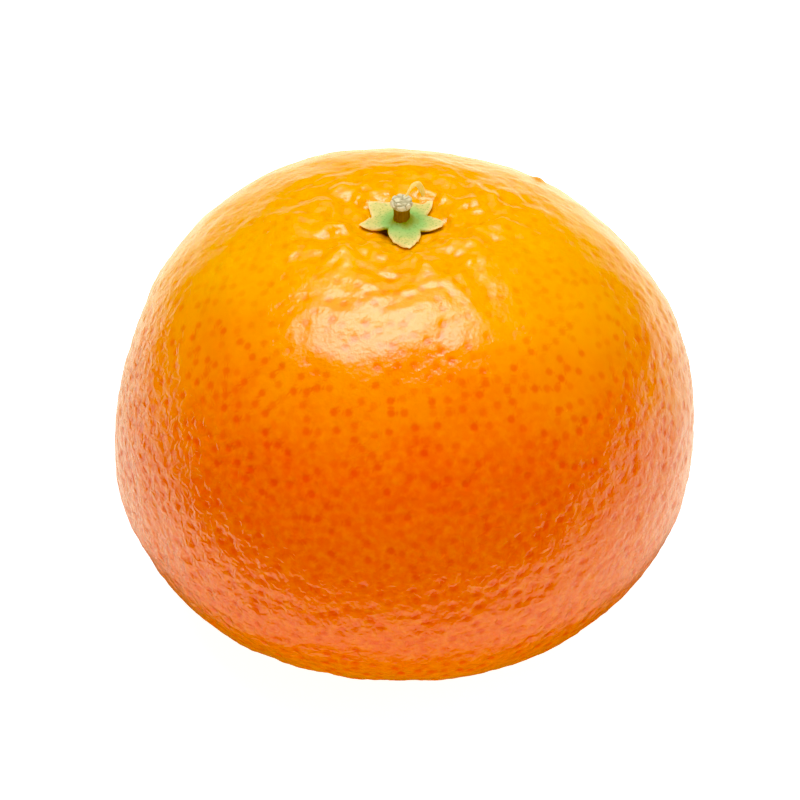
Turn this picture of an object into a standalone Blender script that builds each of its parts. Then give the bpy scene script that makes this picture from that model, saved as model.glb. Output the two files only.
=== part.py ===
"""A whole mandarin as picked, resting on its blossom end, with its calyx and a cut stub of stem.

Metres, +Z up. The origin is on the surface that the fruit rests on, under the stem.
Azimuths turn from +X towards +Y, and the side that faces -Y is the front.
"""

import math

import bmesh
import bpy
from mathutils import Vector, noise

# The fruit: two rounded halves that meet at the waist, its widest level.
HALF_WIDTH = 0.0317
CROWN = 0.0275  # waist to the top, before the stem end sinks in
KEEL = 0.0217  # waist to where the underside would close
WAIST = 0.0213  # height of the waist, which leaves a small flat spot to rest on
CROWN_FULLNESS = 2.15  # 2 is an ellipse, and more is squarer
KEEL_FULLNESS = 2.85
FOOT_ROUNDING = 0.0002  # how softly the skin turns into the flat spot

# Swellings of the skin: azimuth and elevation from the waist's centre, spread in degrees, height.
SWELLINGS = (
    (6, 4, 26, 0.0003),
    (27, 32, 12, -0.0003),
    (76, 53, 18, -0.0004),
    (126, 48, 26, 0.0005),
    (171, 13, 15, -0.0007),
    (-171, -9, 14, 0.0004),
    (-154, -31, 12, -0.0002),
    (-136, -46, 15, 0.0009),
    (-98, -54, 20, -0.0006),
    (-58, -50, 13, 0.0003),
    (-32, -38, 19, -0.0008),
    (70, -20, 24, 0.0004),
    (115, -35, 18, -0.0004),
    (150, -10, 16, 0.0003),
)

# The stem end: a dimple whose skin is gathered in folds between the segments inside.
STEM_DIMPLE_DEPTH = 0.0028
STEM_DIMPLE_RADIUS = 0.0060
SEGMENTS = 10
FOLD_HEIGHT = 0.00013
FOLD_RADIUS = 0.0085
LUMP_HEIGHT = 0.00035  # uneven lumps of the skin round the stem end
LUMP_SIZE = 0.0034

# The blossom end: a shallow pit in the flat spot.
BLOSSOM_PIT_DEPTH = 0.0009
BLOSSOM_PIT_RADIUS = 0.0026

FRUIT_SIDES = 84
FRUIT_RINGS = 50
POLE_CROWDING = 0.045  # draws rings towards the two ends, where the skin bends most

# The calyx: a green disc with five sepals that arch out and down onto the skin.
GAP = 0.0003  # kept between one piece and the next
SEPALS = (  # azimuth of the tip, its distance from the stem, half the root's width, slimness
    (138, 0.0050, 34, 0.9),
    (198, 0.0050, 30, 1.5),
    (279, 0.0050, 42, 0.8),
    (348, 0.0046, 34, 1.1),
    (48, 0.0051, 38, 1.1),
)
DISC_RADIUS = 0.0026  # out to the notches between the sepals
SEPAL_THICKNESS = 0.0006
DISC_THICKNESS = 0.0007
SEPAL_ARCH = 0.00035
COLLAR_RADIUS = 0.0016
COLLAR_HEIGHT = 0.00025
CALYX_SIDES = 120
CALYX_RINGS = 9

# The stem stub: a short neck under a dried, knobbly cut end.
NECK_RADIUS = 0.00100
CUT_END_RADIUS = 0.00120
STUB_HEIGHT = 0.0024
CUT_END_THICKNESS = 0.0007
PITH_DEPTH = 0.0002
KNOBS = 5
KNOB_HEIGHT = 0.00014
STUB_SIDES = 30

# The strand of bark torn from the cut end: it rises to the back right and droops over.
STRAND_RADIUS = 0.00032
STRAND_ROUTE = (  # from the middle of the cut end: right, back, up
    (0.0002, 0.0002, -0.0006),
    (0.0006, 0.0006, 0.0004),
    (0.0011, 0.0010, 0.0010),
    (0.0016, 0.0013, 0.0010),
    (0.0021, 0.0015, 0.0003),
    (0.0023, 0.0016, -0.0007),
)
STRAND_SIDES = 8
STRAND_STEPS = 14


def direction(azimuth, elevation):
    """Unit vector from two angles in degrees."""
    a, e = math.radians(azimuth), math.radians(elevation)
    return Vector((math.cos(e) * math.cos(a), math.cos(e) * math.sin(a), math.sin(e)))


SWELLING_CENTRES = [
    (direction(azimuth, elevation), math.radians(spread), height)
    for azimuth, elevation, spread, height in SWELLINGS
]


def smooth_max(a, b, softness):
    """The larger of a and b, rounded over where they are within softness of each other."""
    share = min(max(0.5 + 0.5 * (a - b) / softness, 0.0), 1.0)
    return b + (a - b) * share + softness * share * (1.0 - share)


def skin_point(polar, azimuth):
    """A point of the skin, by its angle from the stem axis and round it, in radians."""
    sine, cosine = math.sin(polar), math.cos(polar)
    above = cosine > 0
    length, fullness = (CROWN, CROWN_FULLNESS) if above else (KEEL, KEEL_FULLNESS)
    reach = (sine / HALF_WIDTH) ** fullness + (abs(cosine) / length) ** fullness
    reach **= -1.0 / fullness
    ray = Vector((sine * math.cos(azimuth), sine * math.sin(azimuth), cosine))
    for centre, spread, height in SWELLING_CENTRES:
        reach += height * math.exp(-((ray.angle(centre) / spread) ** 2))
    point = ray * reach
    from_axis = math.hypot(point.x, point.y)
    if above:
        point.z += stem_end_relief(point, from_axis, azimuth)
        point.z += WAIST
        return point
    point.z = smooth_max(point.z + WAIST, 0.0, FOOT_ROUNDING)
    point.z += BLOSSOM_PIT_DEPTH * math.exp(-((from_axis / BLOSSOM_PIT_RADIUS) ** 4))
    return point


def stem_end_relief(point, from_axis, azimuth):
    """How far the skin rises round the stem: the dimple, the folds in it and its lumps."""
    dimple = STEM_DIMPLE_DEPTH * math.exp(-((from_axis / STEM_DIMPLE_RADIUS) ** 2))
    near = from_axis / FOLD_RADIUS
    strength = near * near * math.exp(1.0 - near * near)
    fold = FOLD_HEIGHT * math.cos(SEGMENTS * azimuth + 1.4 * math.sin(3 * azimuth))
    lump = LUMP_HEIGHT * noise.noise(point / LUMP_SIZE)
    return strength * (fold + lump) - dimple


def skin_height(from_axis, azimuth):
    """Height of the skin near the stem, at a distance from the stem axis."""
    polar = from_axis / CROWN
    for _ in range(8):
        point = skin_point(polar, azimuth)
        polar *= from_axis / math.hypot(point.x, point.y)
    return skin_point(polar, azimuth).z


def material(name, colour, roughness):
    """A Principled material with one plain finish."""
    made = bpy.data.materials.new(name)
    made.use_nodes = True
    shader = made.node_tree.nodes["Principled BSDF"]
    shader.inputs["Base Color"].default_value = (*colour, 1.0)
    shader.inputs["Roughness"].default_value = roughness
    shader.inputs["Metallic"].default_value = 0.0
    return made


def add_object(name, mesh_maker, finish, place=(0.0, 0.0, 0.0)):
    """Makes a mesh object from a function that fills a bmesh, and places it."""
    shape = bmesh.new()
    mesh_maker(shape)
    bmesh.ops.recalc_face_normals(shape, faces=shape.faces)
    mesh = bpy.data.meshes.new(name)
    shape.to_mesh(mesh)
    shape.free()
    mesh.shade_smooth()
    mesh.set_sharp_from_angle(angle=math.radians(50))
    mesh.materials.append(finish)
    made = bpy.data.objects.new(name, mesh)
    made.location = place
    bpy.context.scene.collection.objects.link(made)
    return made


def add_loops(shape, loops, first=None, last=None):
    """Skins loops of points with quads, and closes each end on a pole point or with one face."""
    rows = [[shape.verts.new(point) for point in loop] for loop in loops]
    for row, following in zip(rows, rows[1:]):
        for i in range(len(row)):
            j = (i + 1) % len(row)
            shape.faces.new((row[i], row[j], following[j], following[i]))
    for row, pole in ((rows[0], first), (rows[-1], last)):
        if pole is None:
            shape.faces.new(row)
            continue
        tip = shape.verts.new(pole)
        for i in range(len(row)):
            shape.faces.new((row[i], row[(i + 1) % len(row)], tip))


def around(sides):
    """Azimuths that divide a turn evenly, in radians."""
    return [math.tau * i / sides for i in range(sides)]


def make_fruit(shape):
    """The fruit is one solid, from the stem's dimple down to the blossom end."""
    loops = []
    for ring in range(1, FRUIT_RINGS):
        share = ring / FRUIT_RINGS
        polar = math.pi * (share - POLE_CROWDING * math.sin(math.tau * share))
        loops.append([skin_point(polar, a) for a in around(FRUIT_SIDES)])
    add_loops(shape, loops, skin_point(0.0, 0.0), skin_point(math.pi, 0.0))


def calyx_edge(azimuth):
    """Distance from the stem to the calyx's edge: the disc, or a sepal where one grows."""
    reach = DISC_RADIUS
    for tip, length, half_width, slimness in SEPALS:
        turn = math.radians(tip) - azimuth
        away = abs(math.atan2(math.sin(turn), math.cos(turn))) / math.radians(half_width)
        if away < 1.0:
            reach = max(reach, DISC_RADIUS + (length - DISC_RADIUS) * (1.0 - away) ** slimness)
    return reach


def calyx_under(from_axis, azimuth):
    """The calyx's underside: it clears the skin, and each sepal arches between root and tip."""
    share = min(from_axis / calyx_edge(azimuth), 1.0)
    arch = SEPAL_ARCH * math.sin(math.pi * share) ** 2
    return skin_height(from_axis, azimuth) + GAP + arch


def calyx_top(from_axis, azimuth):
    """The calyx's upper side: thick at the disc, thin at the tips, with a collar round the stem."""
    thinning = min(from_axis / DISC_RADIUS, 1.0) ** 2
    thickness = DISC_THICKNESS + (SEPAL_THICKNESS - DISC_THICKNESS) * thinning
    collar = COLLAR_HEIGHT * math.exp(-((from_axis / COLLAR_RADIUS) ** 4))
    return calyx_under(from_axis, azimuth) + thickness + collar


def seat_height():
    """The level middle of the calyx, which carries the stem stub."""
    return max(calyx_top(NECK_RADIUS, azimuth) for azimuth in around(CALYX_SIDES))


def make_calyx(shape):
    """The calyx: underside, edge and top of one closed body, out from the stem and back."""
    seat = seat_height()

    def loop(share, height):
        points = []
        for azimuth in around(CALYX_SIDES):
            reach = share * calyx_edge(azimuth)
            across = (reach * math.cos(azimuth), reach * math.sin(azimuth))
            points.append((*across, height(reach, azimuth)))
        return points

    def seated_top(reach, azimuth):
        return seat if reach < CUT_END_RADIUS else calyx_top(reach, azimuth)

    shares = [ring / CALYX_RINGS for ring in range(1, CALYX_RINGS + 1)]
    under = [loop(share, calyx_under) for share in shares]
    top = [loop(share, seated_top) for share in reversed(shares)]
    low_pole = (0.0, 0.0, skin_point(0.0, 0.0).z + GAP)
    add_loops(shape, under + top, low_pole, (0.0, 0.0, seat))


def make_stub(shape):
    """The stub is turned: a flared foot, the neck, and the cut end, whose rim is knobbly."""
    neck_top = STUB_HEIGHT - CUT_END_THICKNESS
    outline = (
        (NECK_RADIUS * 1.15, 0.0),
        (NECK_RADIUS, 0.0003),
        (NECK_RADIUS * 0.96, neck_top * 0.6),
        (NECK_RADIUS * 1.04, neck_top * 0.9),
        (CUT_END_RADIUS * 0.98, neck_top + 0.0001),
        (CUT_END_RADIUS, STUB_HEIGHT - 0.0002),
        (CUT_END_RADIUS * 0.84, STUB_HEIGHT),
        (CUT_END_RADIUS * 0.45, STUB_HEIGHT - PITH_DEPTH * 0.4),
    )
    loops = []
    for radius, height in outline:
        on_cut_end = min(height / neck_top, 1.0) ** 4 * (radius / CUT_END_RADIUS)
        loop = []
        for azimuth in around(STUB_SIDES):
            knob = KNOB_HEIGHT * math.cos(KNOBS * azimuth + 0.6 * math.sin(azimuth))
            wide = radius + knob * 0.5 * on_cut_end
            rise = knob * on_cut_end if height > neck_top else 0.0
            across = (wide * math.cos(azimuth), wide * math.sin(azimuth))
            loop.append((*across, height + rise))
        loops.append(loop)
    add_loops(shape, loops, None, (0.0, 0.0, STUB_HEIGHT - PITH_DEPTH))


def along(route, share):
    """A point of the smooth Catmull-Rom curve through a route's points."""
    points = [Vector(p) for p in route]
    spans = len(points) - 1
    span = min(int(share * spans), spans - 1)
    part = share * spans - span
    before, start = points[max(span - 1, 0)], points[span]
    end, after = points[span + 1], points[min(span + 2, spans)]
    return 0.5 * (
        2.0 * start
        + (end - before) * part
        + (2.0 * before - 5.0 * start + 4.0 * end - after) * part**2
        + (3.0 * start - before - 3.0 * end + after) * part**3
    )


def make_strand(shape):
    """The strand is a thin tapered fibre, with its root sunk in the cut end."""
    loops = []
    for step in range(STRAND_STEPS + 1):
        share = step / STRAND_STEPS
        here = along(STRAND_ROUTE, share)
        ahead = along(STRAND_ROUTE, min(share + 0.02, 1.0))
        behind = along(STRAND_ROUTE, max(share - 0.02, 0.0))
        heading = (ahead - behind).normalized()
        side = heading.cross(Vector((1.0, -1.0, 0.0))).normalized()
        other = heading.cross(side)
        radius = STRAND_RADIUS * (1.0 - 0.3 * share)
        loop = [
            here + radius * (side * math.cos(turn) + other * math.sin(turn))
            for turn in around(STRAND_SIDES)
        ]
        loops.append(loop)
    add_loops(shape, loops)


for old in list(bpy.data.objects):
    bpy.data.objects.remove(old)

rind = material("rind", (0.90, 0.26, 0.01), 0.38)
sepal_green = material("sepal_green", (0.42, 0.55, 0.20), 0.60)
dried_stem = material("dried_stem", (0.50, 0.44, 0.28), 0.80)

add_object("fruit", make_fruit, rind)
add_object("calyx", make_calyx, sepal_green)
foot = seat_height() + GAP
stub = add_object("stem_stub", make_stub, dried_stem, (0.0, 0.0, foot))
strand = add_object("strand_guide", make_strand, dried_stem, (0.0, 0.0, foot + STUB_HEIGHT))
strand.hide_render = True
strand.display_type = "WIRE"
join = stub.modifiers.new("strand", "BOOLEAN")
join.operation = "UNION"
join.object = strand
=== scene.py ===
"""A mandarin as picked: pitted waxy peel, a green calyx and a dried cut stub of stem.

Metres, +Z up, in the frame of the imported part. Azimuths turn from +X towards +Y, and the side
that faces -Y is the front, which the photograph shows from above.
"""

import math

import bmesh
import bpy
from mathutils import Matrix, Vector, noise
from mathutils.bvhtree import BVHTree
from mathutils.kdtree import KDTree


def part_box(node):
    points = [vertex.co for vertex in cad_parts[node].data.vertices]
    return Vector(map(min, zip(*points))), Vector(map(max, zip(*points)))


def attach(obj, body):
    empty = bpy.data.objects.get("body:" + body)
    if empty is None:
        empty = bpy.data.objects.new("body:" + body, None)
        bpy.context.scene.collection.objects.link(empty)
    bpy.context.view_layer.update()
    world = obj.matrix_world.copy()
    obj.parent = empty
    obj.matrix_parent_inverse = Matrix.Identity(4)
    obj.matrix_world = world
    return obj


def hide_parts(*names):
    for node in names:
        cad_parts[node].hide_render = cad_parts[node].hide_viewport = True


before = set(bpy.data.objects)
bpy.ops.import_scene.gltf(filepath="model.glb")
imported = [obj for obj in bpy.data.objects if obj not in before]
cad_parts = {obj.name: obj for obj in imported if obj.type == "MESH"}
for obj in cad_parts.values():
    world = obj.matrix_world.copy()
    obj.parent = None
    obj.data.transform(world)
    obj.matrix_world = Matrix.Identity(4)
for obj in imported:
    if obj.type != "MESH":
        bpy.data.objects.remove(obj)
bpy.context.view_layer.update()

# The fruit's peel. A mandarin's peel is a thin leathery skin under natural wax. It is dotted all
# over with oil glands, which show as darker, redder dots and sink in a little as the fruit dries.
# It grows from the stem's dimple, where it puckers, to the scar at the blossom end.

PEEL_DIVISIONS = 128  # squares along each edge of the ball that the peel is made from
PEEL_SMOOTHING = 16  # rounds that take the solid's facets out
GLAND_SPACING = 0.0012  # least distance between two glands
GLANDS_PER_AREA = 1200000.0  # tried per square metre, before the least distance thins them
GLAND_PIT_RADIUS = 0.00052
GLAND_PIT_DEPTH = 0.00015
GLAND_LEAST = 0.25  # the faintest gland, as a share of the strongest
GLAND_REACH = (0.00050, 0.00066)  # a gland's own field ends between these distances from it
GLAND_SEED = 7
CROWN = (0.030, 0.042)  # the puckers, swellings and wrinkles come in between these heights
BEHIND = (0.003, 0.013)  # and sink between these distances behind the stem
BEHIND_SHARE = 0.3  # to this share of their height
PUCKER_HEIGHT = 0.00115  # radial puckers round the stem
PUCKERS_ROUND = 2.3  # how fine they are round the stem
PUCKER_LENGTH = 0.011
PUCKER_RADIUS = 0.0075  # where they are highest, from the stem
PUCKER_SPREAD = 0.0040
PLATE_HEIGHT = 0.00135  # uneven swellings of the crown
PLATE_SIZE = 0.0023
PLATE_MIDDLE = (0.0008, 0.0016, 0.0)  # they lie round a point a little behind the stem
PLATE_REACH = 0.0200  # where they end, from that point
PLATE_FULL = 0.35  # they start to fade at this share of it
STREAK_HEIGHT = 0.00072  # fine wrinkles that ring the stem
STREAK_WIDTH = 0.0010
STREAKS_ROUND = 2.6
CALM = (0.0320, 0.0420)  # the peel grows smoother between these heights
CALM_PITS = 0.32  # share of the pits' and the pebbling's depth that is left above them
DENT_HEIGHT = 0.00045  # broad soft dents of the whole peel
DENT_SIZE = 0.0050
PEBBLE_HEIGHT = 0.00024  # the pebbling between the glands
PEBBLE_SIZE = 0.0013
HOLLOW = (-0.0020, -0.0009, 0.0463)  # the pocket beside the calyx, at the front left, dark brown: partly a scar's colour, partly painted shade
HOLLOW_RADIUS = 0.0007
HOLLOW_DEPTH = 0.00022
WART = (0.0148, 0.0150, 0.0425)  # a small scab on the back right shoulder
WART_RADIUS = 0.0008
WART_HEIGHT = 0.00035
WART_TINT = 0.25  # how brown it is, as a share of the pocket


def colour(code):
    """An sRGB hex colour as linear RGBA."""
    channels = [int(code[i : i + 2], 16) / 255 for i in (0, 2, 4)]
    linear = [c / 12.92 if c <= 0.04045 else ((c + 0.055) / 1.055) ** 2.4 for c in channels]
    return (*linear, 1.0)


def add(tree, kind, inputs=None, **settings):
    """Adds a node with its settings. An input is a value, a socket, or a node's first output."""
    node = tree.nodes.new(kind)
    for name, value in settings.items():
        setattr(node, name, value)
    for key, value in (inputs or {}).items():
        if isinstance(value, bpy.types.Node):
            value = next(socket for socket in value.outputs if socket.enabled)
        if isinstance(value, bpy.types.NodeSocket):
            tree.links.new(value, node.inputs[key])
        else:
            node.inputs[key].default_value = value
    return node


def new_material(name):
    """A material with its Principled shader ready to be linked."""
    made = bpy.data.materials.new(name)
    made.use_nodes = True
    return made, made.node_tree, made.node_tree.nodes["Principled BSDF"]


# Waxed citrus peel: deep orange, yellower towards the stem, with redder dots over the glands and
# fine mottling. Its yellower back and underside are painted light: the back yellower and the front
# deeper as the light on them looks, the underside yellower where the floor's bounce lights it. Its
# satin gloss is broken up by a net of fine ridges and by pores, strongest on the left flank and
# faint on the smoother crown. Light scatters a little way into it. Pits, puckers and pebbling are
# in the mesh.
PATCH_SIZE = 0.009  # broad patches that are less ripe, and a little less glossy
PATCH_SHIFT = 0.016  # how far they move the change of colour
BACK_RISE = 0.5  # rise of that change per metre towards the back: painted light, the back yellower and the front deeper orange
YELLOWING = (0.026, 0.056)  # the peel turns yellow between these heights
FOOT = (0.001, 0.014)  # the painted bounce light from the floor, a yellower underside, fades out between these heights
MOTTLE_SIZE = 0.0008
DOT_EDGE = (0.00020, 0.00070)  # a dot's colour fades between these distances from its gland
SCAR_EDGE = (0.0010, 0.0018)  # the brown scar in the blossom pit
PORE_SIZE = 0.00045
NET_SIZE = 0.0013  # width of the ridge net's cells
NET_BEND = 0.0018  # how far the net is bent out of straight lines
NET_HEIGHT = 0.64  # of its ridges, as a share of the relief's depth
LEFT_FLANK = (-0.031, -0.008)  # the net is stronger towards the left, by up to
LEFT_NET = 2.3
RELIEF_DEPTH = 0.00008

peel, tree, shader = new_material("citrus_peel")
place = add(tree, "ShaderNodeTexCoord").outputs["Object"]
parts = add(tree, "ShaderNodeSeparateXYZ", {"Vector": place}).outputs
patches = add(
    tree, "ShaderNodeTexNoise", {"Vector": place, "Scale": 1 / PATCH_SIZE, "Detail": 3.0}
)
raised = add(
    tree, "ShaderNodeMath", {0: patches, 1: PATCH_SHIFT, 2: parts["Z"]}, operation="MULTIPLY_ADD"
)
# painted light: the back yellower and the front deeper orange, as the light on them looks
ripening_and_side_light = add(
    tree, "ShaderNodeMath", {0: parts["Y"], 1: BACK_RISE, 2: raised}, operation="MULTIPLY_ADD"
)
ripeness_and_side_light = add(
    tree,
    "ShaderNodeMapRange",
    {"Value": ripening_and_side_light, "From Min": YELLOWING[0], "From Max": YELLOWING[1]},
    interpolation_type="SMOOTHSTEP",
)
ripe_and_side_lit = add(
    tree,
    "ShaderNodeMix",
    {0: ripeness_and_side_light, 6: colour("E65400"), 7: colour("F2A80C")},
    data_type="RGBA",
)
# painted light: the underside yellower, where the floor's bounce lights it
floor_bounce_share = add(
    tree,
    "ShaderNodeMapRange",
    {"Value": parts["Z"], "From Min": FOOT[0], "From Max": FOOT[1], "To Min": 0.9, "To Max": 0.0},
)
mottling = add(
    tree, "ShaderNodeTexNoise", {"Vector": place, "Scale": 1 / MOTTLE_SIZE, "Detail": 3.0}
)
mottled_share = add(
    tree,
    "ShaderNodeMapRange",
    {"Value": mottling, "From Min": 0.40, "From Max": 0.75, "To Max": 0.38},
)
offset = add(tree, "ShaderNodeAttribute", attribute_name="gland_offset").outputs["Vector"]
size = add(tree, "ShaderNodeAttribute", attribute_name="gland_size").outputs["Fac"]
nearness = add(tree, "ShaderNodeAttribute", attribute_name="gland_near").outputs["Fac"]
away = add(tree, "ShaderNodeVectorMath", {0: offset}, operation="LENGTH").outputs["Value"]
dot = add(
    tree,
    "ShaderNodeMapRange",
    {
        "Value": away,
        "From Min": DOT_EDGE[0],
        "From Max": DOT_EDGE[1],
        "To Min": 0.88,
        "To Max": 0.0,
    },
    interpolation_type="SMOOTHSTEP",
)
kept_dot = add(tree, "ShaderNodeMath", {0: dot, 1: nearness}, operation="MULTIPLY")
sized_dot = add(tree, "ShaderNodeMath", {0: kept_dot, 1: size}, operation="MULTIPLY")
faded = add(tree, "ShaderNodeMapRange", {"Value": ripeness_and_side_light, "To Min": 1.0, "To Max": 0.20})
dot_share = add(tree, "ShaderNodeMath", {0: sized_dot, 1: faded}, operation="MULTIPLY")
scab_and_shade = add(tree, "ShaderNodeAttribute", attribute_name="scab_and_shade").outputs["Fac"]
from_scar = add(tree, "ShaderNodeVectorMath", {0: place}, operation="LENGTH").outputs["Value"]
scar = add(
    tree,
    "ShaderNodeMapRange",
    {
        "Value": from_scar,
        "From Min": SCAR_EDGE[0],
        "From Max": SCAR_EDGE[1],
        "To Min": 1.0,
        "To Max": 0.0,
    },
)
tinted = ripe_and_side_lit
for share, tint in (
    # painted light: the yellower underside, where the floor's bounce lights it
    (floor_bounce_share, "DE9000"),
    (mottled_share, "F28E0A"),
    (dot_share, "E03A00"),
    # brown: in the pocket beside the calyx partly a scar's colour, partly painted shade; on the
    # wart a real scab
    (scab_and_shade, "A8501C"),
    (scar, "8A5A2C"),
):
    tinted = add(
        tree,
        "ShaderNodeMix",
        {0: share, 6: tinted.outputs[2], 7: colour(tint)},
        data_type="RGBA",
    )
tree.links.new(tinted.outputs[2], shader.inputs["Base Color"])
pores = add(tree, "ShaderNodeTexNoise", {"Vector": place, "Scale": 1 / PORE_SIZE, "Detail": 3.0})
bend = add(tree, "ShaderNodeTexNoise", {"Vector": place, "Scale": 1 / NET_SIZE, "Detail": 1.0})
bent = add(
    tree,
    "ShaderNodeVectorMath",
    {0: bend.outputs["Color"], 1: (NET_BEND, NET_BEND, NET_BEND), 2: place},
    operation="MULTIPLY_ADD",
)
cells = add(
    tree,
    "ShaderNodeTexVoronoi",
    {"Vector": bent, "Scale": 1 / NET_SIZE},
    feature="DISTANCE_TO_EDGE",
)
ridge = add(
    tree,
    "ShaderNodeMapRange",
    {"Value": cells, "From Min": 0.0, "From Max": 0.50, "To Min": NET_HEIGHT, "To Max": 0.0},
    interpolation_type="SMOOTHSTEP",
)
calm = add(tree, "ShaderNodeAttribute", attribute_name="calm").outputs["Fac"]
lively = add(tree, "ShaderNodeMapRange", {"Value": calm, "To Min": 1.0, "To Max": 0.30})
evened = add(tree, "ShaderNodeMapRange", {"Value": calm, "To Min": 1.0, "To Max": 0.60})
netted = add(
    tree,
    "ShaderNodeMapRange",
    {
        "Value": parts["X"],
        "From Min": LEFT_FLANK[0],
        "From Max": LEFT_FLANK[1],
        "To Min": LEFT_NET,
        "To Max": 1.0,
    },
)
net_height = add(tree, "ShaderNodeMath", {0: lively, 1: netted}, operation="MULTIPLY")
ridged = add(
    tree, "ShaderNodeMath", {0: ridge, 1: net_height, 2: pores}, operation="MULTIPLY_ADD"
)
surface = add(
    tree, "ShaderNodeMath", {0: sized_dot, 1: -0.25, 2: ridged}, operation="MULTIPLY_ADD"
)
relief = add(
    tree, "ShaderNodeBump", {"Height": surface, "Distance": RELIEF_DEPTH, "Strength": evened}
)
tree.links.new(relief.outputs[0], shader.inputs["Normal"])
gloss = add(
    tree,
    "ShaderNodeMapRange",
    {"Value": patches, "From Min": 0.3, "From Max": 0.7, "To Min": 0.20, "To Max": 0.28},
)
tree.links.new(gloss.outputs[0], shader.inputs["Roughness"])
shader.inputs["IOR"].default_value = 1.55
shader.inputs["Subsurface Weight"].default_value = 0.25
shader.inputs["Subsurface Radius"].default_value = (0.0016, 0.0005, 0.0001)
shader.inputs["Subsurface Scale"].default_value = 1.0

# The tree that grows the peel: a ball of even squares is thrown onto the solid fruit and its
# facets are smoothed out, then the crown's puckers, swellings and wrinkles, the dents, the
# pebbling and the gland pits are added. It stores what the material needs to know of them.
growth = bpy.data.node_groups.new("peel_growth", "GeometryNodeTree")
for name, kind in (
    ("Solid", "NodeSocketGeometry"),
    ("Centre", "NodeSocketVector"),
    ("Divisions", "NodeSocketInt"),
    ("Smoothing", "NodeSocketInt"),
    ("Gland Spacing", "NodeSocketFloat"),
    ("Glands per Area", "NodeSocketFloat"),
    ("Pit Radius", "NodeSocketFloat"),
    ("Pit Depth", "NodeSocketFloat"),
    ("Pucker Height", "NodeSocketFloat"),
    ("Plate Height", "NodeSocketFloat"),
    ("Streak Height", "NodeSocketFloat"),
    ("Dent Height", "NodeSocketFloat"),
    ("Pebble Height", "NodeSocketFloat"),
    ("Hollow", "NodeSocketVector"),
    ("Hollow Depth", "NodeSocketFloat"),
    ("Wart", "NodeSocketVector"),
    ("Wart Height", "NodeSocketFloat"),
    ("Seed", "NodeSocketInt"),
    ("Material", "NodeSocketMaterial"),
):
    growth.interface.new_socket(name, in_out="INPUT", socket_type=kind)
growth.interface.new_socket("Peel", in_out="OUTPUT", socket_type="NodeSocketGeometry")
given = add(growth, "NodeGroupInput").outputs
corners = add(growth, "ShaderNodeMath", {0: given["Divisions"], 1: 1.0}, operation="ADD")
cube = add(
    growth,
    "GeometryNodeMeshCube",
    {"Size": (2.0, 2.0, 2.0), "Vertices X": corners, "Vertices Y": corners, "Vertices Z": corners},
)
here = add(growth, "GeometryNodeInputPosition")
angle = add(growth, "ShaderNodeVectorMath", {0: here, "Scale": math.pi / 4}, operation="SCALE")
spread = add(growth, "ShaderNodeVectorMath", {0: angle}, operation="TANGENT")
outward = add(growth, "ShaderNodeVectorMath", {0: spread}, operation="NORMALIZE")
throw = add(
    growth,
    "GeometryNodeRaycast",
    {
        "Target Geometry": given["Solid"],
        "Source Position": given["Centre"],
        "Ray Direction": outward,
    },
)
landed = add(
    growth, "GeometryNodeSetPosition", {"Geometry": cube, "Position": throw.outputs["Hit Position"]}
)
blurred = add(
    growth,
    "GeometryNodeBlurAttribute",
    {"Value": here, "Iterations": given["Smoothing"]},
    data_type="FLOAT_VECTOR",
)
smooth = add(growth, "GeometryNodeSetPosition", {"Geometry": landed, "Position": blurred})

parts = add(growth, "ShaderNodeSeparateXYZ", {"Vector": here}).outputs
across = add(growth, "ShaderNodeCombineXYZ", {"X": parts["X"], "Y": parts["Y"]})
from_stem = add(growth, "ShaderNodeVectorMath", {0: across}, operation="LENGTH").outputs["Value"]
bearing = add(growth, "ShaderNodeVectorMath", {0: across}, operation="NORMALIZE")
out_from_stem = add(
    growth, "ShaderNodeMath", {0: from_stem, 1: 1 / PUCKER_LENGTH}, operation="MULTIPLY"
)
outward_step = add(growth, "ShaderNodeCombineXYZ", {"Z": out_from_stem})
radial = add(growth, "ShaderNodeVectorMath", {0: bearing, 1: outward_step}, operation="ADD")
puckers = add(
    growth, "ShaderNodeTexNoise", {"Vector": radial, "Scale": PUCKERS_ROUND, "Detail": 2.0}
)
off_ring = add(growth, "ShaderNodeMath", {0: from_stem, 1: PUCKER_RADIUS}, operation="SUBTRACT")
ring_share = add(growth, "ShaderNodeMath", {0: off_ring, 1: PUCKER_SPREAD}, operation="DIVIDE")
ring_square = add(growth, "ShaderNodeMath", {0: ring_share, 1: ring_share}, operation="MULTIPLY")
ring_falls = add(growth, "ShaderNodeMath", {0: ring_square, 1: -1.0}, operation="MULTIPLY")
ring = add(growth, "ShaderNodeMath", {0: ring_falls}, operation="EXPONENT")
upper = add(
    growth,
    "ShaderNodeMapRange",
    {"Value": parts["Z"], "From Min": CROWN[0], "From Max": CROWN[1]},
    interpolation_type="SMOOTHSTEP",
)
behind = add(
    growth,
    "ShaderNodeMapRange",
    {
        "Value": parts["Y"],
        "From Min": BEHIND[0],
        "From Max": BEHIND[1],
        "To Min": 1.0,
        "To Max": BEHIND_SHARE,
    },
    interpolation_type="SMOOTHSTEP",
)
crown = add(growth, "ShaderNodeMath", {0: upper, 1: behind}, operation="MULTIPLY")
crown_ring = add(growth, "ShaderNodeMath", {0: ring, 1: crown}, operation="MULTIPLY")
pucker_rise = add(growth, "ShaderNodeMath", {0: puckers, 1: 0.5}, operation="SUBTRACT")
pucker_share = add(
    growth, "ShaderNodeMath", {0: pucker_rise, 1: crown_ring}, operation="MULTIPLY"
)
plates = add(
    growth, "ShaderNodeTexNoise", {"Vector": here, "Scale": 1 / PLATE_SIZE, "Detail": 1.0}
)
from_plates = add(
    growth, "ShaderNodeVectorMath", {0: across, 1: PLATE_MIDDLE}, operation="DISTANCE"
).outputs["Value"]
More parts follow.
